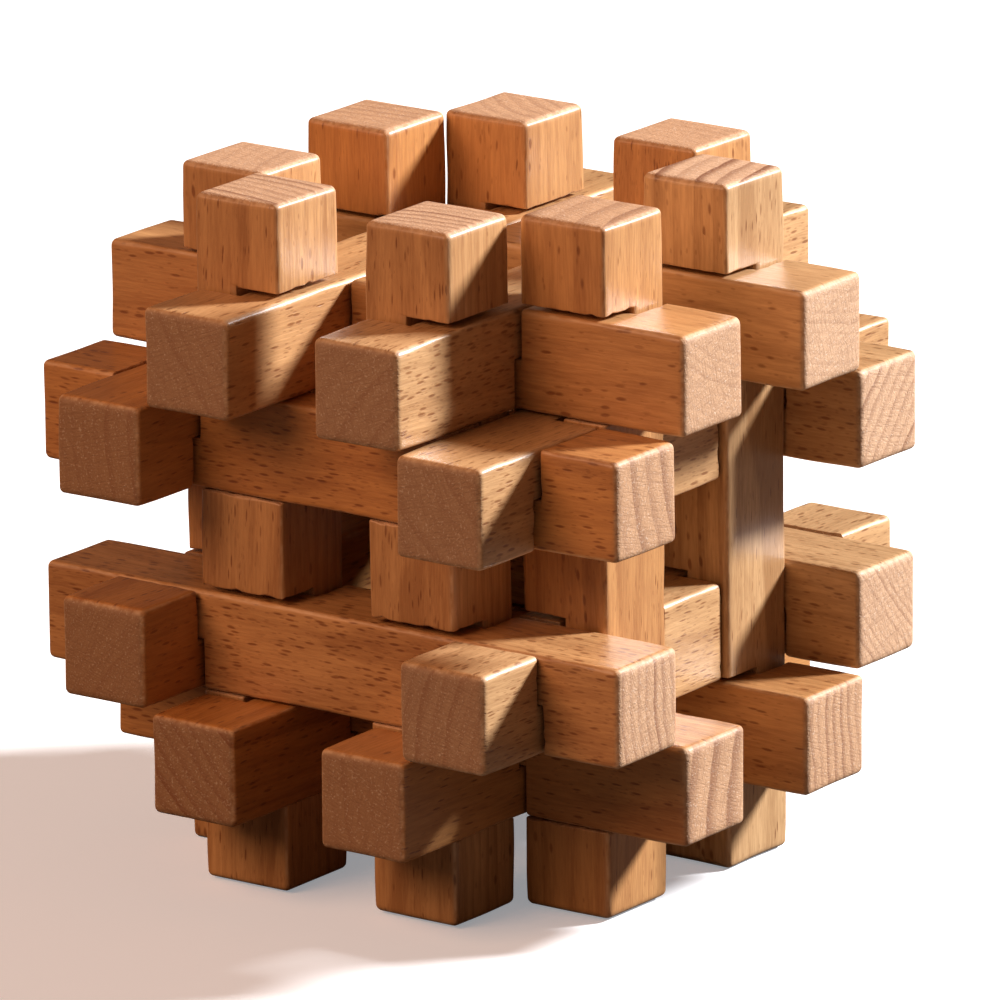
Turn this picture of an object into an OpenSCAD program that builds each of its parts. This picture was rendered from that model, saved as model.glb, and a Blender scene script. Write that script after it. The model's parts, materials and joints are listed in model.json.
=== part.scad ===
// Burr puzzle of 24 identical half-lapped sticks, eight along each of the three axes.
// Each stick passes through four others, and the whole makes an open cube-shaped cage.
// The origin is at the centre of the base, on the surface that the eight uprights stand on.
// +X is the way the sliding half moves, +Y is the back, and +Z is up.

/* [Sticks] */
// Width and depth of every stick
stick_w = 15; // [12:0.5:20]
// How far a stick's end stands out past the outermost sticks that cross it
end_reach = 13.8; // [6:0.2:20]
// Rounding of the long edges and of the ends
edge_r = 1; // [0.4:0.1:2]

/* [Fit] */
// Gap between neighbouring parallel sticks
side_gap = 0.3; // [0.1:0.05:0.5]
// Extra length at each end of a notch
notch_play = 0.5; // [0.3:0.05:0.8]
// Extra depth of a notch past half the stick
lap_play = 0.1; // [0.05:0.05:0.3]

/* [Slide] */
// How far the sliding half already stands open when the puzzle is put down
slide_open = 1; // [0:0.1:6]

/* [Hidden] */
// Distance from the middle to the inner row of sticks, and from there to the outer row
pitch = stick_w + side_gap;
stick_l = 4 * pitch + stick_w + 2 * end_reach;
notch_l = stick_w + 2 * notch_play;
notch_d = stick_w / 2 + lap_play;
// A cutter reaches this far past the surface that it opens
over = 1;
// Each half stands off the middle by half of the opening, so the cage stays centred
half_shift = slide_open / 2;

PALE = [0.86, 0.66, 0.42];
WARM = [0.78, 0.52, 0.29];
DEEP = [0.68, 0.41, 0.21];

$fn = 48;

RIGHT = [1, 0, 0];
LEFT = [-1, 0, 0];
BACK = [0, 1, 0];
FRONT = [0, -1, 0];
UP = [0, 0, 1];
DOWN = [0, 0, -1];

FIXED = -1;
SLIDING = 1;

// Every stick: its name, the half that it belongs to, its middle counted in pitches,
// the side that its two inner notches open to, the side that its two outer notches open to,
// and its shade of wood
STICKS = [
    ["upright_front_left", FIXED, [-1, -2, 0], FRONT, RIGHT, WARM],
    ["upright_front_right", FIXED, [1, -2, 0], FRONT, RIGHT, PALE],
    ["upright_back_left", FIXED, [-1, 2, 0], FRONT, RIGHT, WARM],
    ["upright_back_right", FIXED, [1, 2, 0], FRONT, RIGHT, PALE],
    ["upright_left_front", SLIDING, [-2, -1, 0], LEFT, FRONT, DEEP],
    ["upright_left_back", SLIDING, [-2, 1, 0], LEFT, FRONT, WARM],
    ["upright_right_front", SLIDING, [2, -1, 0], LEFT, FRONT, WARM],
    ["upright_right_back", SLIDING, [2, 1, 0], LEFT, FRONT, PALE],

    ["crossbar_front_upper", FIXED, [0, -2, 1], BACK, UP, WARM],
    ["crossbar_front_lower", FIXED, [0, -2, -1], BACK, DOWN, DEEP],
    ["crossbar_back_upper", FIXED, [0, 2, 1], BACK, UP, PALE],
    ["crossbar_back_lower", FIXED, [0, 2, -1], BACK, DOWN, WARM],
    ["crossbar_top_front", SLIDING, [0, -1, 2], UP, BACK, PALE],
    ["crossbar_top_back", SLIDING, [0, 1, 2], UP, BACK, WARM],
    ["crossbar_bottom_front", SLIDING, [0, -1, -2], DOWN, BACK, WARM],
    ["crossbar_bottom_back", SLIDING, [0, 1, -2], DOWN, BACK, DEEP],

    ["rail_left_upper", FIXED, [-2, 0, 1], RIGHT, DOWN, PALE],
    ["rail_left_lower", FIXED, [-2, 0, -1], RIGHT, UP, WARM],
    ["rail_right_upper", FIXED, [2, 0, 1], RIGHT, DOWN, WARM],
    ["rail_right_lower", FIXED, [2, 0, -1], RIGHT, UP, PALE],
    ["rail_top_left", SLIDING, [-1, 0, 2], DOWN, LEFT, DEEP],
    ["rail_top_right", SLIDING, [1, 0, 2], DOWN, LEFT, WARM],
    ["rail_bottom_left", SLIDING, [-1, 0, -2], UP, LEFT, PALE],
    ["rail_bottom_right", SLIDING, [1, 0, -2], UP, LEFT, WARM],
];

// A rectangle centred on the origin with round corners, made of straight and round pieces only
module round_rectangle(width, height) {
    square([width - 2 * edge_r, height], center = true);
    square([width, height - 2 * edge_r], center = true);
    for (x = [-1, 1], y = [-1, 1])
        translate([x * (width / 2 - edge_r), y * (height / 2 - edge_r)])
            circle(r = edge_r);
}

// The stick before its notches are cut, standing on end: what its three round outlines share
module blank() {
    intersection() {
        linear_extrude(stick_l, center = true)
            round_rectangle(stick_w, stick_w);
        rotate([90, 0, 0])
            linear_extrude(stick_w, center = true)
                round_rectangle(stick_w, stick_l);
        rotate([90, 0, 90])
            linear_extrude(stick_w, center = true)
                round_rectangle(stick_w, stick_l);
    }
}

// A cutter for a pair of notches in the side that faces +X, at a distance from the middle
module notch_pair(distance) {
    depth = notch_d + over;
    for (end = [-1, 1])
        translate([stick_w / 2 - notch_d + depth / 2, 0, end * distance])
            cube([depth, stick_w + 2 * over, notch_l], center = true);
}

// One stick on end at the origin: inner notches open to -Y, outer notches open to +X
module stick() {
    difference() {
        blank();
        rotate([0, 0, -90])
            notch_pair(pitch);
        notch_pair(2 * pitch);
    }
}

// What a row of STICKS says
function name(s) = s[0];
function half(s) = s[1];
function cell(s) = s[2];
function inner_side(s) = s[3];
function outer_side(s) = s[4];
function shade(s) = s[5];

// Where a stick's middle lies, with its half's share of the opening
function middle(s) = cell(s) * pitch + [half(s) * half_shift, 0, stick_l / 2];

// Turns stick() so that its notches open to the two named sides
function turned(inner, outer) =
    let (along = cross(outer, -inner))
    [for (i = [0:2]) [outer[i], -inner[i], along[i], 0]];

// One stick in its place, in its own shade
module placed(s) {
    color(shade(s))
        translate(middle(s))
            multmatrix(turned(inner_side(s), outer_side(s)))
                stick();
}

for (s = STICKS)
    placed(s);
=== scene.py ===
# %% [markdown]
# # A burr puzzle of 24 beech sticks
#
# The real object is a take-apart puzzle. Twenty-four equal square sticks pass through each other at
# notches, eight along each axis, and nothing else holds them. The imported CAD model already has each
# stick's place, its notches and the slide that opens the puzzle. This notebook gives the sticks what
# a plain solid lacks: worn edges, torn notch corners, growth rings, ray flecks and a satin finish.
#
# We load the model first, because everything after this line takes its size and place from it.

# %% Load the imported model
import itertools
import json
import math

import bpy
import numpy as np
from mathutils import Matrix, Vector


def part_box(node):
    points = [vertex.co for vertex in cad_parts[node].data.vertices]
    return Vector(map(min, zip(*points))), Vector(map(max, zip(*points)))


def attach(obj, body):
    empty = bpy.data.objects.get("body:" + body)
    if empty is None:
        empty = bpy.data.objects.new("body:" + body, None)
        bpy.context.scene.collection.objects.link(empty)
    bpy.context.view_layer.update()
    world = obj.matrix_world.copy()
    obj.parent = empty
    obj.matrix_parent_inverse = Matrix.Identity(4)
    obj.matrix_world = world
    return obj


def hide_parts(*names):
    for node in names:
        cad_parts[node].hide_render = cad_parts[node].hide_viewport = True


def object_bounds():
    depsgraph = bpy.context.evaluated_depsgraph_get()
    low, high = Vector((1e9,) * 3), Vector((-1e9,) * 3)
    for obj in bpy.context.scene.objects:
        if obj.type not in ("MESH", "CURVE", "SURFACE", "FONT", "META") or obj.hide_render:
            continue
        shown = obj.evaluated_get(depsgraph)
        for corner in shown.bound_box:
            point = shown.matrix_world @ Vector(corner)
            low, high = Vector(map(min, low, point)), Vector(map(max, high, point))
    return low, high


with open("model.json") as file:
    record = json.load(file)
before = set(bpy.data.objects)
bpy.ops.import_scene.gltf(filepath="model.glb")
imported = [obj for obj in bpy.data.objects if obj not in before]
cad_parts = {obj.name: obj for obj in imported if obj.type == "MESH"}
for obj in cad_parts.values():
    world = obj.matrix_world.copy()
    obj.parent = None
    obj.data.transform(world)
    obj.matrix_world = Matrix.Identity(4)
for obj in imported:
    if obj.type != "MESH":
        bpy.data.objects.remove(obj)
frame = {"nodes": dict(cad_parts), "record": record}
cad_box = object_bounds()
print("CAD box in mm:", [[round(v * 1000, 2) for v in corner] for corner in cad_box])

# %% [markdown]
# ## The stick's measures, read from one CAD stick
#
# All the sticks are one shape, so one of them tells us every measure. We keep the shape in
# millimetres, which is how a woodworker thinks, and turn it into metres only when a mesh is made.
# Away from the rounded ends, the solid has corners only at its notches. There, the distinct places
# along the stick are the notch walls, and the smallest place across it is the notch floor.

# %% Measure a stick
MM = 0.001
END_ZONE = 2.0


def corners_mm(name):
    """All the corners of a CAD node, in millimetres."""
    mesh = frame["nodes"][name].data
    flat = np.empty(len(mesh.vertices) * 3)
    mesh.vertices.foreach_get("co", flat)
    return flat.reshape(-1, 3) / MM


sample = corners_mm("upright_front_right")
middle = (sample.min(axis=0) + sample.max(axis=0)) / 2
sample = sample - middle
STICK_W, STICK_L = np.round(np.ptp(sample, axis=0)[[0, 2]], 3)
clear_of_ends = np.abs(sample[:, 2]) < STICK_L / 2 - END_ZONE
wall_places = np.unique(np.round(sample[clear_of_ends & (sample[:, 2] > 0), 2], 3))
INNER_START, OUTER_START, INNER_STOP, OUTER_STOP = wall_places
NOTCH_FLOOR = np.round(np.abs(sample[clear_of_ends, 0]).min(), 3)
print(f"stick {STICK_W} x {STICK_W} x {STICK_L} mm, notch floors {NOTCH_FLOOR} mm past the middle")
print(f"inner notches from {INNER_START} to {INNER_STOP} mm, outer from {OUTER_START} to {OUTER_STOP}")

# %% [markdown]
# ## A stick as a grid of cells
#
# A notched stick could be cut with booleans, but those leave long thin triangles that shade badly
# once the edges are rounded. Here the stick is a box of small cells. Cells inside a notch are empty,
# and the skin is every cell wall between a filled cell and an empty one. That skin is closed by
# its nature, its quads are tidy, and its corners can then be moved as whole arrays.
#
# The grid lines come first. They lie close together beside each edge, where the rounding needs them,
# and further apart on the flat faces.

# %% Grid lines
FLAT_STEP = 1.2


def grid_lines(marks):
    """Places of the grid lines along one axis. Each mark is a place with the offsets to either side
    of it that get a line too, and even steps of at most FLAT_STEP fill what is left between them."""
    sides = (-1, 1)
    places = [place + side * offset for place, offsets in marks for offset in offsets for side in sides]
    low, high = marks[0][0], marks[-1][0]
    fixed = np.unique(np.round(np.clip(places, low, high), 4))
    parts = []
    for start, stop in zip(fixed[:-1], fixed[1:]):
        count = max(1, math.ceil((stop - start) / FLAT_STEP))
        parts.append(np.linspace(start, stop, count + 1)[:-1])
    return np.concatenate([*parts, fixed[-1:]])


print("lines on a 4 mm stretch with close ends:", grid_lines([(0, (0, 0.5)), (4, (0, 0.5))]))

# %% [markdown]
# ## The skin of the filled cells
#
# Comparing each cell with the next one along an axis finds every wall between a filled and an empty
# cell. A face has a front and a back, and the order of its corners decides which is which, so the
# walls that face forwards and those that face backwards list their corners in opposite orders.

# %% Skin
def skin(filled):
    """The quads between filled and empty cells, as grid corner numbers, facing outwards. Along each
    axis, a change from empty to filled is a wall that faces backwards, and from filled to empty one
    that faces forwards. The four corners go round in the order of the next two axes."""
    lines = np.array(filled.shape) + 1
    padded = np.pad(filled, 1).astype(int)
    walls = []
    for axis in range(3):
        across = [(axis + 1) % 3, (axis + 2) % 3]
        change = np.diff(padded, axis=axis)
        keep = [slice(1, -1)] * 3
        keep[axis] = slice(None)
        change = change[tuple(keep)]
        for sign, order in ((-1, (0, 1, 2, 3)), (1, (3, 2, 1, 0))):
            cells = np.argwhere(change == sign)
            corners = np.repeat(cells[:, None, :], 4, axis=1)
            corners[:, [1, 2], across[0]] += 1
            corners[:, [2, 3], across[1]] += 1
            walls.append(np.ravel_multi_index(tuple(np.moveaxis(corners, 2, 0)), lines)[:, order])
    return np.concatenate(walls)


print("a single cell has", len(skin(np.ones((1, 1, 1), bool))), "walls")

# %% [markdown]
# ## One stick with sharp edges
#
# A stick stands on end with its middle at the origin. Its inner notches open to -y and its outer
# notches to +x, and both go a little past the middle. So the grid along y is the grid along x turned
# end for end. The close lines beside an outer edge reach further in than those beside a notch wall,
# because the outer edges are rounded further.

# %% Cells of the stick
ARRIS_OFFSETS = (0, 0.14, 0.35, 0.7, 1.25)
WALL_OFFSETS = (0, 0.1, 0.2, 0.3)
half = STICK_W / 2
lines_x = grid_lines([(-half, ARRIS_OFFSETS), (-NOTCH_FLOOR, (0,)), (half, ARRIS_OFFSETS)])
lines_y = -lines_x[::-1]
above = [(place, WALL_OFFSETS) for place in wall_places] + [(STICK_L / 2, ARRIS_OFFSETS)]
below = [(-place, offsets) for place, offsets in above[::-1]]
lines_z = grid_lines(below + above)

cell_x, cell_y, cell_z = [(line[:-1] + line[1:]) / 2 for line in (lines_x, lines_y, lines_z)]
X, Y, Z = np.meshgrid(cell_x, cell_y, np.abs(cell_z), indexing="ij")
inner_notch = (Y < NOTCH_FLOOR) & (Z > INNER_START) & (Z < INNER_STOP)
outer_notch = (X > -NOTCH_FLOOR) & (Z > OUTER_START) & (Z < OUTER_STOP)
used, quads = np.unique(skin(~(inner_notch | outer_notch)), return_inverse=True)
quads = quads.reshape(-1, 4)
grid = np.stack(np.meshgrid(lines_x, lines_y, lines_z, indexing="ij"), axis=-1).reshape(-1, 3)
SHARP_STICK = grid[used]
print(f"one stick: {len(SHARP_STICK)} corners, {len(quads)} quads")

# %% [markdown]
# ## Soft notch corners
#
# Two kinds of edge want two kinds of rounding. The notch corners are as the saw left them, with the
# sharpness just off. A Bevel modifier would need to be told which edges those are. Here each corner
# of the skin is pulled to a fixed small distance from the nearest point of the stick's core, which
# is the stick shrunk by that distance, and every edge comes out equally soft.

# %% Soften the stick
NOTCH_ROUND = 0.28


def core_boxes(shrink):
    """The stick as overlapping boxes, each shrunk on all sides, as (low corner, high corner)."""
    low, high = -STICK_W / 2, STICK_W / 2
    end = STICK_L / 2
    boxes = [
        ((low, low, -INNER_START), (high, high, INNER_START)),
        ((low, NOTCH_FLOOR, -OUTER_START), (high, high, OUTER_START)),
        ((low, NOTCH_FLOOR, -end), (-NOTCH_FLOOR, high, end)),
    ]
    for start, stop in ((INNER_STOP, end), (-end, -INNER_STOP)):
        boxes.append(((low, low, start), (-NOTCH_FLOOR, high, stop)))
    for start, stop in ((OUTER_STOP, end), (-end, -OUTER_STOP)):
        boxes.append(((low, low, start), (high, high, stop)))
    return [(np.array(a) + shrink, np.array(b) - shrink) for a, b in boxes]


def soften(points, radius):
    """Each point goes to radius away from the nearest point of the shrunk core, along the line
    between the two."""
    nearest = np.stack([np.clip(points, low, high) for low, high in core_boxes(radius)])
    offset = points - nearest
    distance = np.linalg.norm(offset, axis=2)
    closest = distance.argmin(axis=0)
    row = np.arange(len(points))
    offset, distance = offset[closest, row], distance[closest, row]
    return nearest[closest, row] + offset * (radius / distance)[:, None]


SOFT_STICK = soften(SHARP_STICK, NOTCH_ROUND)
print("soft notch corners moved by up to", np.round(np.abs(SOFT_STICK - SHARP_STICK).max(), 3), "mm")

# %% [markdown]
# ## Worn outer edges
#
# The long edges and the ends were sanded, and hands have worn them further. So each corner zone of
# the blank is bent from a cube into a piece of a ball. The bend moves everything in the zone, so the
# notch walls that meet a worn edge follow it.

# %% Wear
def wear(points, radius):
    """Within radius of the blank's faces, u, v and w run from 0 to 1 towards the outside. The cube
    becomes a ball: u goes to u * sqrt(1 - v²/2 - w²/2 + v²w²/3), and the same for v and w."""
    half = np.array([STICK_W, STICK_W, STICK_L]) / 2
    inside = half - radius[:, None]
    u = np.clip((np.abs(points) - inside) / radius[:, None], 0, 1)
    v2, w2 = np.roll(u, 1, axis=1) ** 2, np.roll(u, 2, axis=1) ** 2
    bent = inside + radius[:, None] * u * np.sqrt(1 - v2 / 2 - w2 / 2 + v2 * w2 / 3)
    return np.where(u > 0, np.sign(points) * bent, points)


sharp_corner = np.array([[STICK_W, STICK_W, STICK_L]]) / 2
drawn_back = np.linalg.norm(wear(sharp_corner, np.ones(1)) - sharp_corner)
print("wear of 1 mm draws a sharp corner back by", round(drawn_back, 2), "mm")

# %% [markdown]
# ## Smooth random fields
#
# Wood that was sawn, sanded and handled isn't even: an edge is rounder here than there, a face is a
# hair hollow, and fibres tore away where the saw left a notch. A smooth random field drives all
# three. It is value noise: random numbers on a coarse lattice, blended between lattice points.

# %% Value noise
NOISE_CELLS = 32


def smooth_noise(points, size, seed):
    """Value noise from -1 to 1. A place between lattice points blends the eight around it, each
    weighted by s or 1 - s along every axis, where s = 3t² - 2t³ and t is the place in the cell."""
    lattice = np.random.default_rng(seed).uniform(-1, 1, (NOISE_CELLS,) * 3)
    cell = np.floor(points / size).astype(int)
    t = points / size - cell
    s = t * t * (3 - 2 * t)
    total = np.zeros(len(points))
    for corner in itertools.product((0, 1), repeat=3):
        weight = np.where(corner, s, 1 - s).prod(axis=1)
        total += weight * lattice[tuple(((cell + corner) % NOISE_CELLS).T)]
    return total


along_edge = np.outer(range(0, 12, 2), (0, 0, 1))
print("noise every 2 mm along an edge:", np.round(smooth_noise(along_edge, 4, 1), 2))

# %% [markdown]
# ## Torn fibres
#
# A saw that leaves a notch pushes the last fibres out instead of cutting them, and small splinters
# come away beside the notch walls. The splinters run along the grain, so the noise behind them is
# drawn out that way. The wall only ever goes back into the wood, so the notch never gets tighter.

# %% Tear the notch walls
TEAR_DEPTH, TEAR_REACH = 0.55, 1.1
SPLINTER_SIZE = 1.3
SPLINTER_DRAW = (1, 1, 0.2)
WHOLE_BELOW = 0.05
ON_THE_WALL = 0.05


def torn(points, seed):
    """Fibres torn out beside the two notch walls that have long grain behind them: the inner notch's
    wall nearer the middle and the outer notch's wall nearer the end. Near the outside of the stick,
    the wall goes back from the notch by TEAR_DEPTH times how far the noise is over WHOLE_BELOW."""
    depth = STICK_W / 2 - np.abs(points[:, :2]).max(axis=1)
    near_outside = np.clip(1 - depth / TEAR_REACH, 0, 1)
    patch = np.clip(smooth_noise(points * SPLINTER_DRAW, SPLINTER_SIZE, seed) - WHOLE_BELOW, 0, 1)
    away = np.zeros(len(points))
    z = np.abs(points[:, 2])
    for wall, side in ((INNER_START, -1), (OUTER_STOP, 1)):
        behind = side * (z - wall)
        close = np.clip(1 - behind / (2 * TEAR_DEPTH), 0, 1) * (behind > -ON_THE_WALL)
        away += side * close
    moved = points.copy()
    moved[:, 2] += np.sign(points[:, 2]) * away * patch * near_outside * TEAR_DEPTH
    return moved


print("fibres torn back by up to", np.round(np.abs(torn(SOFT_STICK, 1) - SOFT_STICK).max(), 2), "mm")

# %% [markdown]
# ## No two sticks alike
#
# Every stick gets its own wear from its own seed. Tears and wear take wood away. The hollow draws
# the whole surface in by up to a twentieth of a millimetre, far less than the play in a notch, so no
# stick grows into its neighbour.

# %% One stick with its own wear
EDGE_WEAR, EDGE_WEAR_CHANGE, EDGE_WEAR_PATCH = 0.75, 0.25, 7
END_WEAR, END_REACH = 0.3, 5.0
HOLLOW, HOLLOW_PATCH = 0.05, 11


def stick_surface(seed):
    """One stick's corners in its own frame, in millimetres: torn, then worn, then slightly hollow.
    The wear grows by END_WEAR over the last END_REACH, since corners wear fastest."""
    points = torn(SOFT_STICK, seed)
    near_end = np.clip(1 - (STICK_L / 2 - np.abs(points[:, 2])) / END_REACH, 0, 1)
    change = EDGE_WEAR_CHANGE * smooth_noise(points, EDGE_WEAR_PATCH, seed + 1)
    points = wear(points, EDGE_WEAR + END_WEAR * near_end + change)
    hollow = HOLLOW * (1 + smooth_noise(points, HOLLOW_PATCH, seed + 2)) / 2
    size = np.abs(points).max(axis=1)
    return points * (1 - hollow / np.maximum(size, STICK_W / 2))[:, None]


print("a stick after wear, in mm:", np.round(np.ptp(stick_surface(1), axis=0), 2))

# %% [markdown]
# ## Where each stick lies, and how it was sawn from the tree
#
# The table says, for every stick, the side that its two inner notches open to and the side that its
# two outer notches open to. Then it says how the stick lay in the tree, because that decides the
# figure on every face: the side where the heart of the tree was, how many millimetres away, how wide
# the growth rings are, and how strongly they show. Last come the stick's tone, from 0 for pale to 1
# for deep, how many of its rays show, and how far it sits off its middle along its own length, in
# millimetres. The tone is partly the board's own colour and partly painted shade: sticks that sit in
# shade, such as the front crossbars and the lower left rails, are set deeper, and sticks that catch
# more light, such as the back crossbars, are set paler.

# %% The 24 sticks
RIGHT, LEFT = Vector((1, 0, 0)), Vector((-1, 0, 0))
BACK, FRONT = Vector((0, 1, 0)), Vector((0, -1, 0))
UP, DOWN = Vector((0, 0, 1)), Vector((0, 0, -1))

# name: inner side, outer side, heart side, heart distance, ring width, rings, tone and shade, flecks,
# sits
STICKS = {
    "upright_front_left": (FRONT, RIGHT, FRONT + 0.15 * LEFT, 60, 2.1, 0.9, 0.45, 0.35, 0.35),
    "upright_front_right": (FRONT, RIGHT, FRONT + 0.1 * RIGHT, 70, 1.9, 0.9, 0.40, 0.35, 0.40),
    "upright_back_left": (FRONT, RIGHT, BACK + 0.5 * RIGHT, 25, 2.4, 0.4, 0.65, 0.35, 0.20),
    "upright_back_right": (FRONT, RIGHT, FRONT + 0.1 * LEFT, 60, 2.1, 0.3, 0.70, 0.6, 0.30),
    "upright_left_front": (LEFT, FRONT, RIGHT + 0.2 * BACK, 50, 2.3, 0.3, 0.50, 0.5, 0.00),
    "upright_left_back": (LEFT, FRONT, FRONT + 0.1 * RIGHT, 70, 2.3, 0.5, 0.85, 0.30, 0.20),
    "upright_right_front": (LEFT, FRONT, RIGHT + 0.1 * BACK, 55, 4.4, 0.7, 0.65, 0.35, 0.35),
    "upright_right_back": (LEFT, FRONT, RIGHT + 0.15 * BACK, 60, 3.3, 1.0, 0.05, 0.35, 0.20),
    "crossbar_front_upper": (BACK, UP, BACK + 0.2 * UP, 60, 3.6, 0.6, 0.85, 0.7, 0.1),
    "crossbar_front_lower": (BACK, DOWN, BACK + 0.1 * UP, 55, 2.0, 0.8, 0.55, 0.9, -0.1),
    "crossbar_back_upper": (BACK, UP, BACK + 0.9 * DOWN, 50, 2.2, 0.7, 0.20, 0.7, 0.2),
    "crossbar_back_lower": (BACK, DOWN, BACK + 0.9 * UP, 60, 1.3, 0.5, 0.20, 0.8, 0.1),
    "crossbar_top_front": (UP, BACK, UP + 0.5 * BACK, 60, 1.6, 0.3, 0.60, 0.4, -0.1),
    "crossbar_top_back": (UP, BACK, UP + 0.15 * BACK, 40, 1.5, 0.3, 0.20, 0.4, 0.2),
    "crossbar_bottom_front": (DOWN, BACK, BACK + 0.15 * DOWN, 45, 5.2, 0.9, 0.70, 0.6, 0.1),
    "crossbar_bottom_back": (DOWN, BACK, BACK + 0.1 * UP, 60, 1.9, 0.8, 0.65, 0.5, 0.1),
    "rail_left_upper": (RIGHT, DOWN, RIGHT + 0.1 * UP, 40, 2.0, 0.4, 0.95, 0.5, -0.2),
    "rail_left_lower": (RIGHT, UP, RIGHT + 0.9 * DOWN, 60, 2.2, 0.3, 0.95, 0.5, -0.1),
    "rail_right_upper": (RIGHT, DOWN, RIGHT + 0.8 * UP, 40, 3.2, 0.3, 0.25, 1.0, -0.1),
    "rail_right_lower": (RIGHT, UP, RIGHT + 0.3 * DOWN, 35, 2.4, 0.4, 0.15, 1.0, -0.2),
    "rail_top_left": (DOWN, LEFT, RIGHT + 0.7 * UP, 60, 2.4, 0.3, 0.45, 0.7, -0.1),
    "rail_top_right": (DOWN, LEFT, RIGHT + 0.9 * DOWN, 55, 2.6, 0.3, 0.20, 1.0, -0.2),
    "rail_bottom_left": (UP, LEFT, RIGHT + 0.9 * UP, 55, 2.4, 0.9, 1.0, 0.5, 0.1),
    "rail_bottom_right": (UP, LEFT, RIGHT + 0.1 * UP, 60, 2.4, 0.3, 0.85, 0.4, 0.1),
}
print(len(STICKS), "sticks, and all of them in the model:", set(STICKS) == set(frame["nodes"]))

# %% [markdown]
# ## Putting a stick in its place
#
# A stick's own frame has its length along z, its inner notches open to -y and its outer notches open
# to +x. Three columns of a matrix turn it: where its x, y and z go. The place goes into the mesh, so
# the object itself stays at the origin, unturned, as the CAD sticks do.

# %% Turn and place
def turn_of(inner, outer):
    """The matrix whose columns are where the stick's own x, y and z point: x to the outer side, y
    away from the inner side, and z square to both."""
    across, through = outer, -inner
    return Matrix((across, through, across.cross(through))).transposed()


def centre_of(name):
    """The middle of a CAD stick, in metres."""
    low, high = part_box(name)
    return (low + high) / 2


print("a rail's length points to", tuple(turn_of(*STICKS["rail_top_left"][:2]).col[2]))

# %% [markdown]
# ## Masks from the shape
#
# Three masks go with the mesh, because the finish depends on them. They come from the shape: end
# grain is where the surface faces along the stick, the worn mask is where it faces between two
# directions, and the sawn mask is inside the notches.

# %% Masks
END_FACING = (0.45, 0.9)
WORN_FACING = (0.75, 0.97)
SAWN_DEPTH = (0.3, 0.9)


def ramp(values, low, high):
    """0 below low, 1 above high, and 3t² - 2t³ between, where t is the share of the way."""
    t = np.clip((values - low) / (high - low), 0, 1)
    return t * t * (3 - 2 * t)


def store_mask(mesh, name, values):
    """Writes one number per corner of the mesh under a name that a material can read."""
    mask = mesh.attributes.new(name, "FLOAT", "POINT")
    mask.data.foreach_set("value", values.astype(np.float32))


def store_masks(mesh, own, turn):
    """The masks of one stick, from its corners in its own frame and the matrix that turned it. Facing
    is how far the surface's normal points along each of the stick's own three directions."""
    facing = np.empty(len(own) * 3)
    mesh.vertex_normals.foreach_get("vector", facing)
    facing = np.abs(facing.reshape(-1, 3) @ turn)
    depth = STICK_W / 2 - np.abs(own[:, :2]).max(axis=1)
    between_ends = np.abs(own[:, 2]) < STICK_L / 2 - END_ZONE
    store_mask(mesh, "end_grain", ramp(facing[:, 2], *END_FACING))
    # The worn mask marks the rounded edges; the material paints both real wear and a highlight there.
    store_mask(mesh, "worn", 1 - ramp(facing.max(axis=1), *WORN_FACING))
    store_mask(mesh, "sawn", ramp(depth, *SAWN_DEPTH) * between_ends)


print("worn mask half way round an edge:", 1 - ramp(math.cos(math.radians(45)), *WORN_FACING))

# %% [markdown]
# ## The 24 meshes
#
# Each stick becomes one object. It rides on its half of the puzzle, so it slides with it, and it
# takes the place of the CAD stick of the same name. Shading is smooth over the soft edges and stays
# sharp in the notch corners, where two faces meet at a right angle. A stick's surface draws on three
# seeds in a row, so the sticks' seeds are ten apart.

# %% Make the sticks
BODIES = frame["record"]["behaviour"]["bodies"]
BODY_OF = {name: body for body, nodes in BODIES.items() for name in nodes}
SHARP_ANGLE = math.radians(50)


def make_stick(name, seed):
    """One finished stick: its surface, turned and placed, with its masks and its body."""
    inner, outer, *_, sits = STICKS[name]
    own = stick_surface(seed)
    turn = np.array(turn_of(inner, outer))
    placed = (own + (0, 0, sits)) @ turn.T * MM + np.array(centre_of(name))
    mesh = bpy.data.meshes.new(name + "_wood")
    mesh.from_pydata(placed, [], quads)
    mesh.shade_smooth()
    mesh.set_sharp_from_angle(angle=SHARP_ANGLE)
    store_masks(mesh, own, turn)
    stick = bpy.data.objects.new(name + "_wood", mesh)
    bpy.context.scene.collection.objects.link(stick)
    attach(stick, BODY_OF[name])
    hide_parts(name)
    return stick


sticks = {name: make_stick(name, 10 * number) for number, name in enumerate(STICKS, start=1)}
print("triangles in all:", 2 * len(quads) * len(sticks))

# %% [markdown]
# ## Nodes in plain words
#
# The finish is made of shader nodes. These helpers add a node, or a sum, in one line each, so that
# the cells below read like the description of the wood.

# %% Node helpers
def add(tree, kind, inputs=None, **settings):
    """Adds a node. Inputs map a socket's name or number to a constant or to another socket."""
    made = tree.nodes.new("ShaderNode" + kind)
    for key, value in settings.items():
        setattr(made, key, value)
    for key, value in (inputs or {}).items():
        if isinstance(value, bpy.types.NodeSocket):
            tree.links.new(value, made.inputs[key])
        else:
            made.inputs[key].default_value = value
    return made


def calc(tree, operation, *values):
    """A sum: the operation applied to one, two or three numbers or sockets."""
    return add(tree, "Math", dict(enumerate(values)), operation=operation).outputs[0]


def total(tree, start, *terms):
    """Start plus every term's mask times its weight."""
    for mask, weight in terms:
        start = calc(tree, "MULTIPLY_ADD", mask, weight, start)
    return start


def step(tree, value, low, high, start=0.0, stop=1.0):
    """A smooth step from start, where value is low, to stop, where it is high."""
    names = ("Value", "From Min", "From Max", "To Min", "To Max")
    inputs = dict(zip(names, (value, low, high, start, stop)))
    return add(tree, "MapRange", inputs, interpolation_type="SMOOTHSTEP").outputs[0]


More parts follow.
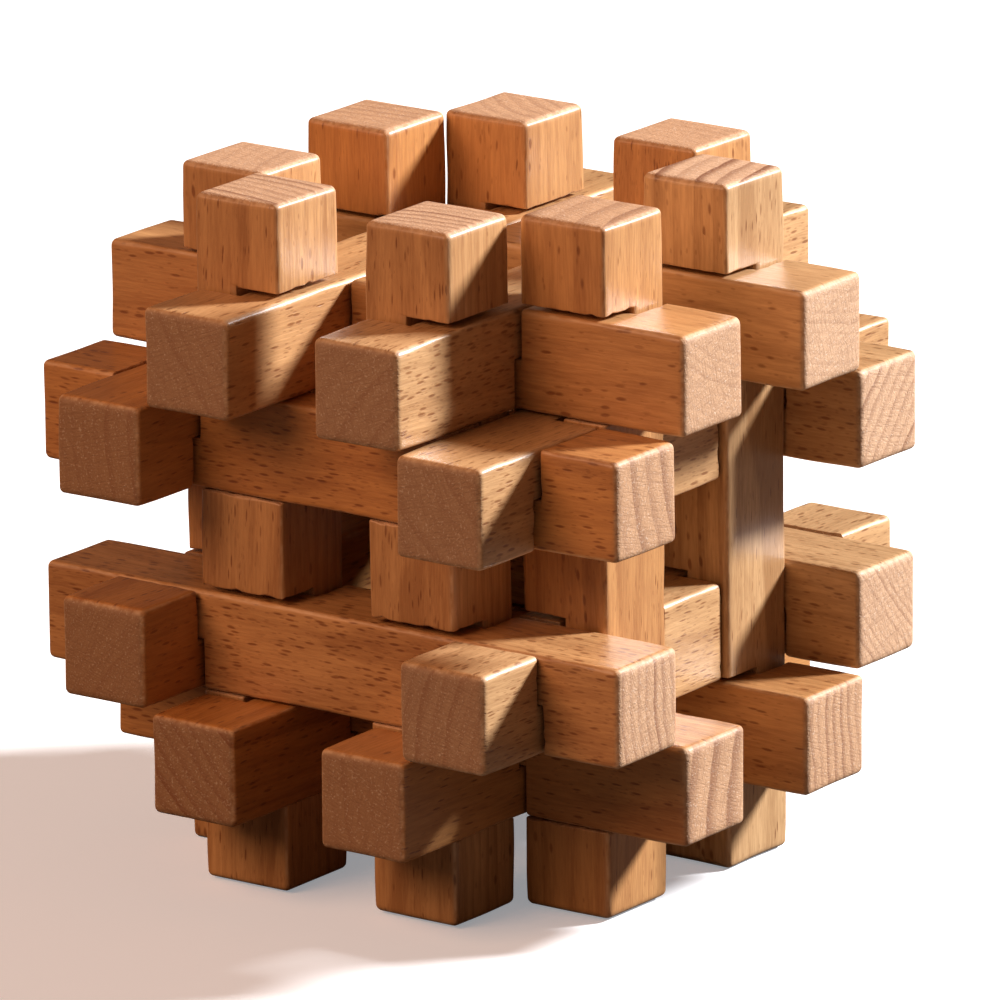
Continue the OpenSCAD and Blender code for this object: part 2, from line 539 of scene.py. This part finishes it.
def mix(tree, factor, first, second, kind="MIX"):
    """Two colours mixed, or multiplied, by a factor."""
    inputs = {0: factor, 6: first, 7: second}
    return add(tree, "Mix", inputs, data_type="RGBA", blend_type=kind).outputs[2]


operations = bpy.types.ShaderNodeMath.bl_rna.properties["operation"].enum_items
print("a Math node knows", len(operations), "operations")

# %% [markdown]
# ## Noise and groups
#
# Noise in a material works like the noise in the meshes: a place is divided by the size of a cell,
# and the pattern is drawn out along any direction in which the cells are longer. A pattern that all
# the sticks share is built once, as a node group with named sockets, and placed in each material.

# %% Helpers for noise and groups
def stretch(tree, vector, sizes):
    """A place measured in cells of these sizes, which are in the place's own units."""
    share = tuple(1 / size for size in sizes)
    return add(tree, "VectorMath", {0: vector, 1: share}, operation="MULTIPLY").outputs[0]


def noise(tree, vector, detail=2.0, roughness=0.5):
    """Soft noise from 0 to 1 with cells one unit wide."""
    inputs = {"Vector": vector, "Scale": 1.0, "Detail": detail, "Roughness": roughness}
    return add(tree, "TexNoise", inputs).outputs[0]


def new_group(name, inputs, outputs):
    """An empty node group with named sockets. Returns its tree and its input and output nodes."""
    group = bpy.data.node_groups.new(name, "ShaderNodeTree")
    for in_out, sockets in (("INPUT", inputs), ("OUTPUT", outputs)):
        for label, kind in sockets.items():
            group.interface.new_socket(label, in_out=in_out, socket_type="NodeSocket" + kind)
    given, result = group.nodes.new("NodeGroupInput"), group.nodes.new("NodeGroupOutput")
    return group, given.outputs, result.inputs


def use(tree, group, inputs):
    """Places a node group and sets its inputs. Returns its outputs."""
    return add(tree, "Group", inputs, node_tree=group).outputs


def describe(group):
    """Prints what a finished group takes and gives."""
    sockets = {side: [] for side in ("INPUT", "OUTPUT")}
    for item in group.interface.items_tree:
        sockets[item.in_out].append(item.name)
    print(f"{group.name}: {len(group.nodes)} nodes, from {sockets['INPUT']} to {sockets['OUTPUT']}")


print("node groups so far:", len(bpy.data.node_groups))

# %% [markdown]
# ## Place in the tree
#
# Wood figure is solid: it runs through the stick, and each face shows a cut through it. So the
# pattern isn't painted on the faces. It is a function of the place in the tree. Round the heart of
# the tree, that place is how far out from the heart it is, how far round, and how far up. The trunk
# wasn't a perfect cylinder, so the distance from the heart wanders a little.

# %% Group: place in the tree
WANDER_CELL = (11, 11, 55)
tree_place, given, result = new_group(
    "Place in the tree",
    {"Vector": "Vector", "Heart distance": "Float", "Wander": "Float"},
    {"Out": "Float", "Polar": "Vector"},
)
axes = add(tree_place, "SeparateXYZ", {0: given["Vector"]}).outputs
squares = [calc(tree_place, "MULTIPLY", axes[i], axes[i]) for i in (0, 1)]
out = calc(tree_place, "SQRT", calc(tree_place, "ADD", *squares))
swing = noise(tree_place, stretch(tree_place, given["Vector"], WANDER_CELL))
swing = calc(tree_place, "SUBTRACT", swing, 0.5)
out = calc(tree_place, "MULTIPLY_ADD", swing, given["Wander"], out)
angle = calc(tree_place, "ARCTAN2", axes[1], axes[0])
around = calc(tree_place, "MULTIPLY", angle, given["Heart distance"])
polar = add(tree_place, "CombineXYZ", {0: around, 1: axes[2], 2: out}).outputs[0]
tree_place.links.new(out, result["Out"])
tree_place.links.new(polar, result["Polar"])
describe(tree_place)

# %% [markdown]
# ## Growth rings
#
# In spring a tree lays down pale wood and in late summer darker, denser wood, and then it stops
# abruptly for the winter. So across one ring the colour deepens slowly and then drops back at once.
# No two summers are alike: each ring takes a random strength and tone from its number.

# %% Group: growth rings
SUMMER_RISE = (0.3, 0.92)
WINTER_DROP = (0.93, 1.0)
FAINTEST_RING = 0.35
rings, given, result = new_group(
    "Growth rings",
    {"Out": "Float", "Ring width": "Float"},
    {"Late wood": "Float", "Summer": "Float"},
)
turns = calc(rings, "DIVIDE", given["Out"], given["Ring width"])
share = calc(rings, "FRACT", turns)
number = calc(rings, "FLOOR", turns)
strength = add(rings, "TexWhiteNoise", {"W": number}, noise_dimensions="1D").outputs[0]
between = calc(rings, "ADD", number, 0.5)
summer = add(rings, "TexWhiteNoise", {"W": between}, noise_dimensions="1D").outputs[0]
rise = step(rings, share, *SUMMER_RISE)
drop = step(rings, share, *WINTER_DROP, 1.0, 0.0)
late = calc(rings, "MULTIPLY", rise, drop)
late = calc(rings, "MULTIPLY", late, step(rings, strength, 0.0, 1.0, FAINTEST_RING, 1.0))
rings.links.new(late, result["Late wood"])
rings.links.new(summer, result["Summer"])
describe(rings)

# %% [markdown]
# ## Ray flecks
#
# Beech is known by its rays: upright spindles of cells, about a third of a millimetre thick, twice
# as wide outwards from the heart and about two millimetres tall. A face that cuts them shows short
# dark dashes along the grain. Stretched Voronoi cells give one spindle to each cell, in two sizes,
# and the stick's own amount says how many of the cells have one.

# %% Group: ray flecks
BEND_CELL = (4, 9, 20)
BEND = (0.8, 1.6, 0.0)
LARGE_RAY = ((0.58, 3.2, 1.3), 0.18, 0.38)
SMALL_RAY = ((0.42, 1.7, 0.8), 0.14, 0.36)
SMALL_RAY_STRENGTH = 0.5
FADE_IN = 0.3
flecks, given, result = new_group(
    "Ray flecks",
    {"Polar": "Vector", "Amount": "Float"},
    {"Fleck": "Float"},
)
bend = {"Vector": stretch(flecks, given["Polar"], BEND_CELL), "Scale": 1.0}
bend = add(flecks, "TexNoise", bend).outputs[1]
bend = add(flecks, "VectorMath", {0: bend, 1: BEND}, operation="MULTIPLY").outputs[0]
place = add(flecks, "VectorMath", {0: given["Polar"], 1: bend}, operation="ADD").outputs[0]
limit = calc(flecks, "SUBTRACT", 1.0, given["Amount"])
layers = []
for cell, solid_to, gone_at in (LARGE_RAY, SMALL_RAY):
    cells = add(flecks, "TexVoronoi", {"Vector": stretch(flecks, place, cell), "Scale": 1.0}).outputs
    spot = step(flecks, cells["Distance"], solid_to, gone_at, 1.0, 0.0)
    lot = add(flecks, "SeparateColor", {0: cells["Color"]}).outputs[0]
    present = step(flecks, lot, limit, calc(flecks, "ADD", limit, FADE_IN))
    layers.append(calc(flecks, "MULTIPLY", spot, present))
small = calc(flecks, "MULTIPLY", layers[1], SMALL_RAY_STRENGTH)
flecks.links.new(calc(flecks, "MAXIMUM", layers[0], small), result["Fleck"])
describe(flecks)

# %% [markdown]
# ## Fibres and pores
#
# Under the rings and rays lies the fibre itself: fine lines along the grain, a few tenths of a
# millimetre apart, over broad soft streaks of colour. The same fine noise, seen end on, is the fine
# speckle of the pores.

# %% Group: fibres
FIBRE_CELL = (0.42, 0.42, 5)
STREAK_CELL = (3.2, 3.2, 38)
MID_GREYS = (0.25, 0.75)
fibres, given, result = new_group("Fibres", {"Vector": "Vector"}, {"Fine": "Float", "Broad": "Float"})
fine = noise(fibres, stretch(fibres, given["Vector"], FIBRE_CELL), 3.0, 0.6)
broad = noise(fibres, stretch(fibres, given["Vector"], STREAK_CELL), 2.0, 0.55)
fibres.links.new(step(fibres, fine, *MID_GREYS), result["Fine"])
fibres.links.new(step(fibres, broad, *MID_GREYS), result["Broad"])
describe(fibres)

# %% [markdown]
# ## Saw marks on the ends
#
# The ends were cut with a fine saw and hardly sanded. They keep a hatch of thin scratches in two
# directions, with pale dust and filled pores as specks in it.

# %% Group: sawn end
SCRATCH_ANGLES = (0.25, -1.2)
SCRATCH_CELL = (0.34, 4.0, 9)
SPECK_CELL = (0.34, 0.34, 0.6)
SCRATCH_STEP, SPECK_STEP = (0.42, 0.68), (0.56, 0.80)
sawn_end, given, result = new_group(
    "Sawn end",
    {"Vector": "Vector"},
    {"Scratch": "Float", "Speck": "Float"},
)
scratches = []
for angle in SCRATCH_ANGLES:
    turned = {"Vector": given["Vector"], "Angle": angle}
    turned = add(sawn_end, "VectorRotate", turned, rotation_type="Z_AXIS").outputs[0]
    line = noise(sawn_end, stretch(sawn_end, turned, SCRATCH_CELL), 2.0, 0.6)
    scratches.append(step(sawn_end, line, *SCRATCH_STEP))
dots = noise(sawn_end, stretch(sawn_end, given["Vector"], SPECK_CELL), 1.0, 0.5)
sawn_end.links.new(calc(sawn_end, "MAXIMUM", *scratches), result["Scratch"])
sawn_end.links.new(step(sawn_end, dots, *SPECK_STEP), result["Speck"])
describe(sawn_end)

# %% [markdown]
# ## Beech: the parts come together
#
# The last group is the whole wood. It takes the stick's own figures and colours, reads the three
# masks from the mesh, and places the groups above. The next cells turn those into colour, roughness,
# coat and height, all from the same masks, so a fleck is dark, slightly glossier and slightly sunken
# all at once.

# %% Group: beech, its inputs and masks
WANDER = 2.2
beech, given, result = new_group(
    "Beech",
    {
        "Vector": "Vector",
        "Heart distance": "Float",
        "Ring width": "Float",
        "Rings": "Float",
        "Flecks": "Float",
        "Pale": "Color",
        "Deep": "Color",
        "End": "Color",
    },
    {"Color": "Color", "Roughness": "Float", "Coat": "Float", "Height": "Float"},
)
end_mask = add(beech, "Attribute", attribute_name="end_grain").outputs["Fac"]
worn_and_highlight_mask = add(beech, "Attribute", attribute_name="worn").outputs["Fac"]
sawn_mask = add(beech, "Attribute", attribute_name="sawn").outputs["Fac"]
side_mask = calc(beech, "SUBTRACT", 1.0, end_mask)

where = use(beech, tree_place, {
    "Vector": given["Vector"], "Heart distance": given["Heart distance"], "Wander": WANDER,
})
ring = use(beech, rings, {"Out": where["Out"], "Ring width": given["Ring width"]})
ray = use(beech, flecks, {"Polar": where["Polar"], "Amount": given["Flecks"]})["Fleck"]
fibre = use(beech, fibres, {"Vector": given["Vector"]})
saw = use(beech, sawn_end, {"Vector": given["Vector"]})
late = calc(beech, "MULTIPLY", ring["Late wood"], given["Rings"])
print("beech has", len(beech.nodes), "nodes before its colours")

# %% [markdown]
# ## Beech: side grain and end grain
#
# On the sides, rings, streaks and fibres decide how far the colour goes from the stick's pale to its
# deep, and the dark flecks go on top. On the ends the rings cross the face as dark lines, and the
# saw's scratches and specks lie over them. Finish soaks into end grain, which makes it a greyer,
# pinker colour of its own.

# %% Beech: colours of the sides and the ends
FLECK_DARK, FLECK_STRENGTH = (0.46, 0.32, 0.25, 1), 0.85
RING_DARK = (0.22, 0.085, 0.035, 1)
SCRATCH_DARK, SCRATCH_STRENGTH = (0.22, 0.10, 0.05, 1), 0.34
SPECK_PALE, SPECK_STRENGTH = (0.85, 0.70, 0.56, 1), 0.30

DEEPER = ((fibre["Broad"], 0.40), (late, 0.5), (ring["Summer"], 0.12), (fibre["Fine"], 0.42))
depth = total(beech, 0.0, *DEEPER)
side = mix(beech, depth, given["Pale"], given["Deep"])
fleck_tint = mix(beech, 1.0, side, FLECK_DARK, "MULTIPLY")
side = mix(beech, calc(beech, "MULTIPLY", ray, FLECK_STRENGTH), side, fleck_tint)

END_DEEPER = ((fibre["Fine"], 0.12), (late, 1.0))
end = mix(beech, total(beech, 0.0, *END_DEEPER), given["End"], RING_DARK)
end = mix(beech, calc(beech, "MULTIPLY", saw["Scratch"], SCRATCH_STRENGTH), end, SCRATCH_DARK)
end = mix(beech, calc(beech, "MULTIPLY", saw["Speck"], SPECK_STRENGTH), end, SPECK_PALE)
color = mix(beech, end_mask, side, end)
print("beech has", len(beech.nodes), "nodes with its colours")

# %% [markdown]
# ## Beech: where hands and saw have been, and the painted edge highlight
#
# Worn edges are paler in patches, with a trace of polish from hands. The paler patches are partly
# real wear and partly a painted highlight, the bright line that light draws along a rounded edge. The
# insides of the notches were sawn and never finished, so they are a little paler, rougher and without
# a coat.

# %% Beech: worn and sawn wood, the painted edge highlight, and the coat
# The pale edge colour is partly rubbed wood and partly a painted highlight along the rounded edges.
WORN_AND_HIGHLIGHT_PALE, WORN_AND_HIGHLIGHT_STRENGTH = (0.86, 0.62, 0.40, 1), 0.36
SAWN_PALE, SAWN_STRENGTH = (0.62, 0.42, 0.26, 1), 0.3
WORN_CELL, WORN_STEP = (1.2, 1.2, 2.5), (0.3, 0.7)
SIDE_COAT, WORN_COAT = 0.35, 0.05

patches = step(beech, noise(beech, stretch(beech, given["Vector"], WORN_CELL)), *WORN_STEP)
worn_and_highlight_here = calc(beech, "MULTIPLY", worn_and_highlight_mask, patches)
# Painted highlight, on top of real wear: the rounded edges are lightened in patches.
color = mix(beech, calc(beech, "MULTIPLY", worn_and_highlight_here, WORN_AND_HIGHLIGHT_STRENGTH), color, WORN_AND_HIGHLIGHT_PALE)
color = mix(beech, calc(beech, "MULTIPLY", sawn_mask, SAWN_STRENGTH), color, SAWN_PALE)
beech.links.new(color, result["Color"])

finished = calc(beech, "SUBTRACT", 1.0, sawn_mask)
coat = calc(beech, "MULTIPLY", finished, calc(beech, "MULTIPLY", side_mask, SIDE_COAT))
beech.links.new(total(beech, coat, (worn_and_highlight_here, WORN_COAT)), result["Coat"])
print("beech has", len(beech.nodes), "nodes with its wear and its coat")

# %% [markdown]
# ## Beech: roughness and height
#
# Both are sums over the same masks. Each begins at a start value, and every mask adds or takes away
# its share. Height is in shares of a small depth, which the material sets.

# %% Beech: roughness and height
ROUGH_START, HEIGHT_START = 0.36, 0.6
ROUGH_CHANGES = (
    (fibre["Fine"], 0.10),
    (ray, -0.06),
    (end_mask, 0.22),
    (sawn_mask, 0.2),
    (worn_and_highlight_mask, 0.24),
)
HEIGHT_CHANGES = ((fibre["Fine"], -0.35), (ray, -0.3))
END_HEIGHTS = ((saw["Speck"], 0.3), (saw["Scratch"], -0.3))

beech.links.new(total(beech, ROUGH_START, *ROUGH_CHANGES), result["Roughness"])
height = total(beech, HEIGHT_START, *HEIGHT_CHANGES)
end_height = total(beech, 0.0, *END_HEIGHTS)
height = calc(beech, "ADD", height, calc(beech, "MULTIPLY", end_height, end_mask))
beech.links.new(height, result["Height"])
describe(beech)

# %% [markdown]
# ## The boards' colours
#
# The sticks came from different boards, so each has its own tone, and the tones also carry painted
# shade: sticks in shade are set deeper and sticks that catch more light paler. Each pair below is a
# colour of the palest board and the same colour of the deepest one: the pale wood between the rings,
# the deep wood in them, and the end grain. The rails' ends face the front and the back, and their end
# grain is painted darker as shade.

# %% Board colours
PALE_LIGHT, PALE_DARK = np.array((0.67, 0.42, 0.21)), np.array((0.36, 0.19, 0.08))
DEEP_LIGHT, DEEP_DARK = np.array((0.61, 0.27, 0.075)), np.array((0.34, 0.12, 0.03))
END_LIGHT, END_DARK = np.array((0.62, 0.38, 0.225)), np.array((0.52, 0.28, 0.14))
# Painted shade: the rails' ends face the front and the back, and their end grain is set darker.
END_PAINTED_SHADE = {"upright": 1.0, "crossbar": 1.0, "rail": 0.60}


def board_color(light, dark, tone_and_shade):
    """A colour between the palest and the deepest board: light times 1 - tone plus dark times tone."""
    return (*(light * (1 - tone_and_shade) + dark * tone_and_shade), 1)


print("pale wood of a middling board:", np.round(board_color(PALE_LIGHT, DEEP_LIGHT, 0.5), 3))

# %% [markdown]
# ## One material for each stick
#
# A Mapping node takes the place in metres to millimetres in the stick's own frame, and then to the
# place in the tree: it tilts the trunk a degree or two against the stick, which draws slow curves on
# the faces, and moves the heart to where the table says. How high up the tree each stick grew is
# drawn at random, so no two sticks show the same piece of the pattern.

# %% Materials
TRUNK_TILT = math.radians(2.0)
TRUNK_HEIGHT = 400
BUMP_DEPTH = 0.07 * MM
COAT_ROUGHNESS = 0.28


def make_material(name, seed):
    """The beech of one stick, cut from its own place in the tree."""
    inner, outer, heart, heart_distance, ring_width, rings_show, tone_and_shade, fleck, _ = STICKS[name]
    end_shade = END_PAINTED_SHADE[name.split("_")[0]]
    draw = np.random.default_rng(seed)
    turn = turn_of(inner, outer)
    tilt_x, tilt_y = draw.uniform(-TRUNK_TILT, TRUNK_TILT, 2)
    tilt = Matrix.Rotation(tilt_x, 3, "X") @ Matrix.Rotation(tilt_y, 3, "Y")
    to_tree = tilt @ turn.transposed()
    heart_place = turn.transposed() @ heart.normalized() * heart_distance
    heart_place.z = draw.uniform(-TRUNK_HEIGHT, TRUNK_HEIGHT)
    shift = -(to_tree @ centre_of(name)) / MM - heart_place

    material = bpy.data.materials.new("beech_" + name)
    material.use_nodes = True
    tree = material.node_tree
    tree.nodes.clear()
    place = add(tree, "TexCoord").outputs["Object"]
    mapping = add(tree, "Mapping", {
        "Vector": place, "Scale": (1 / MM,) * 3, "Rotation": to_tree.to_euler(), "Location": shift,
    })
    wood = use(tree, beech, {
        "Vector": mapping.outputs[0],
        "Heart distance": heart_distance,
        "Ring width": ring_width,
        "Rings": rings_show,
        "Flecks": fleck,
        # Painted shade: the tone deepens sticks in shade and pales those that catch more light, on top
        # of the board's own colour.
        "Pale": board_color(PALE_LIGHT, DEEP_LIGHT, tone_and_shade),
        "Deep": board_color(PALE_DARK, DEEP_DARK, tone_and_shade),
        # Painted shade on the rails' end grain.
        "End": board_color(END_LIGHT * end_shade, END_DARK * end_shade, tone_and_shade),
    })
    bump = add(tree, "Bump", {"Strength": 1.0, "Distance": BUMP_DEPTH, "Height": wood["Height"]})
    surface = add(tree, "BsdfPrincipled", {
        "Base Color": wood["Color"],
        "Roughness": wood["Roughness"],
        "Coat Weight": wood["Coat"],
        "Coat Roughness": COAT_ROUGHNESS,
        "Normal": bump.outputs[0],
    })
    add(tree, "OutputMaterial", {"Surface": surface.outputs[0]})
    return material


for number, (name, stick) in enumerate(sticks.items(), start=1):
    stick.data.materials.append(make_material(name, 1000 + number))
print("materials on the sticks:", sum(len(stick.data.materials) for stick in sticks.values()))

# %% [markdown]
# ## Floor
#
# A plain pale floor, wide enough to fill the view from any side. It is one disc with the slightest
# unevenness in its colour, and it isn't part of the object. A real studio floor this pale would throw
# light up into every hollow, so the camera sees the pale floor, a little lit from within to keep its
# shadow light, and every other ray meets a dark shade card. The floor's measures are in metres.

# %% Floor
FLOOR_RADIUS = 6.0
FLOOR_SIDES = 96
FLOOR_PALE, FLOOR_DULL = (0.86, 0.855, 0.85, 1), (0.83, 0.825, 0.82, 1)
FLOOR_GLOW, GLOW_STRENGTH = (0.92, 0.95, 1.0, 1), 0.30
SHADE_CARD = (0.10, 0.08, 0.065, 1)
MOTTLE_CELL = (0.4, 0.4, 0.4)

rim_angles = np.linspace(0, 2 * math.pi, FLOOR_SIDES, endpoint=False)
rim = np.stack([np.cos(rim_angles), np.sin(rim_angles), 0 * rim_angles], axis=1) * FLOOR_RADIUS
floor_mesh = bpy.data.meshes.new("floor")
floor_mesh.from_pydata(rim, [], [tuple(range(FLOOR_SIDES))])
floor = bpy.data.objects.new("floor", floor_mesh)
bpy.context.scene.collection.objects.link(floor)

paper = bpy.data.materials.new("pale_floor")
paper.use_nodes = True
tree = paper.node_tree
surface = tree.nodes["Principled BSDF"]
place = add(tree, "TexCoord").outputs["Object"]
mottle = noise(tree, stretch(tree, place, MOTTLE_CELL))
tree.links.new(mix(tree, mottle, FLOOR_PALE, FLOOR_DULL), surface.inputs["Base Color"])
surface.inputs["Roughness"].default_value = 0.75
surface.inputs["Emission Color"].default_value = FLOOR_GLOW
surface.inputs["Emission Strength"].default_value = GLOW_STRENGTH
shade_card = add(tree, "BsdfDiffuse", {"Color": SHADE_CARD})
seen = add(tree, "LightPath").outputs["Is Camera Ray"]
both = add(tree, "MixShader", {0: seen, 1: shade_card.outputs[0], 2: surface.outputs[0]})
tree.links.new(both.outputs[0], tree.nodes["Material Output"].inputs["Surface"])
floor_mesh.materials.append(paper)
print("floor:", FLOOR_SIDES, "sides and", 2 * FLOOR_RADIUS, "m across")

# %% [markdown]
# ## Light
#
# One white key light stands to the right and behind, at about thirty degrees, so that the right-hand
# faces glow, the front faces stay in soft shade, and the stick ends throw slanting shadows on their
# neighbours. It is small enough for those shadows to have an edge, and large enough for the edge to
# be soft. A large warm soft box to the left of the camera fills the shade on the front faces, and a
# weak warm sky fills the rest.

# %% Key light, soft box and sky
centre = (cad_box[0] + cad_box[1]) / 2
LIGHT_DISTANCE = 1.6
SKY, SKY_STRENGTH = (1.0, 0.62, 0.42, 1), 0.12


def studio_light(name, direction, size, power, color):
    """A round lamp in a direction from the middle of the puzzle, LIGHT_DISTANCE away and pointed at
    it. Its size is in metres and its power in watts."""
    direction = Vector(direction).normalized()
    light = bpy.data.lights.new(name, "AREA")
    light.shape = "DISK"
    light.size = size
    light.energy = power
    light.color = color
    lamp = bpy.data.objects.new(name, light)
    lamp.location = centre + direction * LIGHT_DISTANCE
    lamp.rotation_euler = direction.to_track_quat("Z", "Y").to_euler()
    bpy.context.scene.collection.objects.link(lamp)
    print(name, "at", [round(v, 2) for v in lamp.location])


studio_light("key", (1.0, 1.2, 0.87), size=0.26, power=75.0, color=(0.94, 0.96, 1.0))
studio_light("soft_box", (-0.3, -0.85, 0.62), size=1.0, power=17.2, color=(1.0, 0.57, 0.35))

world = bpy.data.worlds.new("studio")
bpy.context.scene.world = world
world.use_nodes = True
sky = world.node_tree.nodes["Background"]
sky.inputs["Color"].default_value = SKY
sky.inputs["Strength"].default_value = SKY_STRENGTH

bpy.context.scene.view_settings.view_transform = "Standard"
bpy.context.scene.view_settings.look = "None"

# %% [markdown]
# ## Camera
#
# A long lens from well back keeps the sticks' edges nearly parallel, as in a catalogue picture. The
# camera looks down by fifteen and a half degrees at the corner between the front and the right side,
# and leans over by a little more than half a degree.

# %% Camera
AZIMUTH, ELEVATION, ROLL = math.radians(36.19), math.radians(15.56), math.radians(-0.63)
CAMERA_DISTANCE = 1.70
LENS, SENSOR = 415.2, 36.0
OFF_CENTRE = (2.54 * MM, 0.68 * MM)

back = Vector((
    math.sin(AZIMUTH) * math.cos(ELEVATION),
    -math.cos(AZIMUTH) * math.cos(ELEVATION),
    math.sin(ELEVATION),
))
level_right = (-back).cross(UP).normalized()
level_up = level_right.cross(-back)
right = level_right * math.cos(ROLL) + level_up * math.sin(ROLL)
up = level_up * math.cos(ROLL) - level_right * math.sin(ROLL)

lens = bpy.data.cameras.new("camera")
lens.lens = LENS
lens.sensor_width = SENSOR
lens.clip_end = 50
camera = bpy.data.objects.new("camera", lens)
place = centre + back * CAMERA_DISTANCE + right * OFF_CENTRE[0] + up * OFF_CENTRE[1]
camera.matrix_world = Matrix.Translation(place) @ Matrix((right, up, back)).transposed().to_4x4()
bpy.context.scene.collection.objects.link(camera)
bpy.context.scene.camera = camera
print("camera at", [round(v, 3) for v in place])
